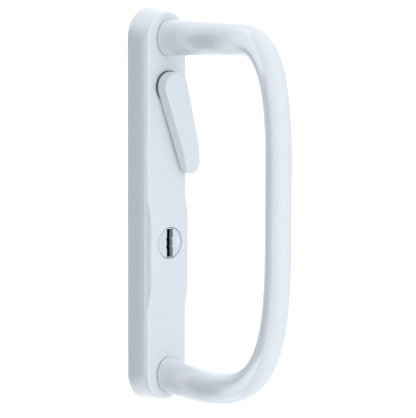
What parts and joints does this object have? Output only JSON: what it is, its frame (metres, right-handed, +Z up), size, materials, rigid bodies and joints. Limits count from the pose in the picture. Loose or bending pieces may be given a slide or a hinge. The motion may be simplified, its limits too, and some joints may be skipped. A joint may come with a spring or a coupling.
{
  "type": "patio door handle",
  "caption": "White D pull on a long round-ended escutcheon for a sliding patio door, with a turning snib lever and a key cylinder, fixed from behind.",
  "frame": {"origin": "centre of the back face that lies against the door, halfway between the two tapped fixing bosses", "axes": "+Z up along the escutcheon, +Y into the door, so the front and the pull face -Y; +X to the right seen from the front"},
  "size_m": [0.0293, 0.1, 0.1812],
  "materials": {
    "white_coat": "gloss white powder coat on cast metal",
    "plated_plug": "bright nickel plate",
    "zinc_steel": "zinc plated steel",
    "spring_steel": "dark oiled spring steel",
    "brass": "turned brass",
    "black_nylon": "moulded black nylon"
  },
  "bodies": {
    "handle_body": {"escutcheon": "white_coat", "pull_handle": "white_coat", "pull_screws": "zinc_steel", "pull_washers": "spring_steel", "lever_bush": "black_nylon", "thrust_washer": "zinc_steel", "disc_spring": "spring_steel", "cylinder_shell": "brass", "cylinder_clip": "spring_steel"},
    "lever_body": {"snib_lever": "white_coat", "lever_circlip": "spring_steel", "lever_spindle": "zinc_steel", "spindle_pin": "zinc_steel", "stop_plate": "zinc_steel"},
    "plug_body": {"cylinder_plug": "plated_plug", "wafers": "brass", "wafer_springs": "spring_steel", "plug_clip": "spring_steel", "tailpiece": "zinc_steel", "tailpiece_pin": "zinc_steel"}
  },
  "joints": [
    {"name": "lever_turn", "type": "hinge", "parent": "handle_body", "child": "lever_body", "pos_m": [0, -0.0122, 0.0554], "axis": [0, 1, 0], "range_deg": [0, 32]},
    {"name": "key_turn", "type": "hinge", "parent": "handle_body", "child": "plug_body", "pos_m": [0, -0.0138, -0.0162], "axis": [0, 1, 0], "range_deg": [-90, 90]}
  ]
}
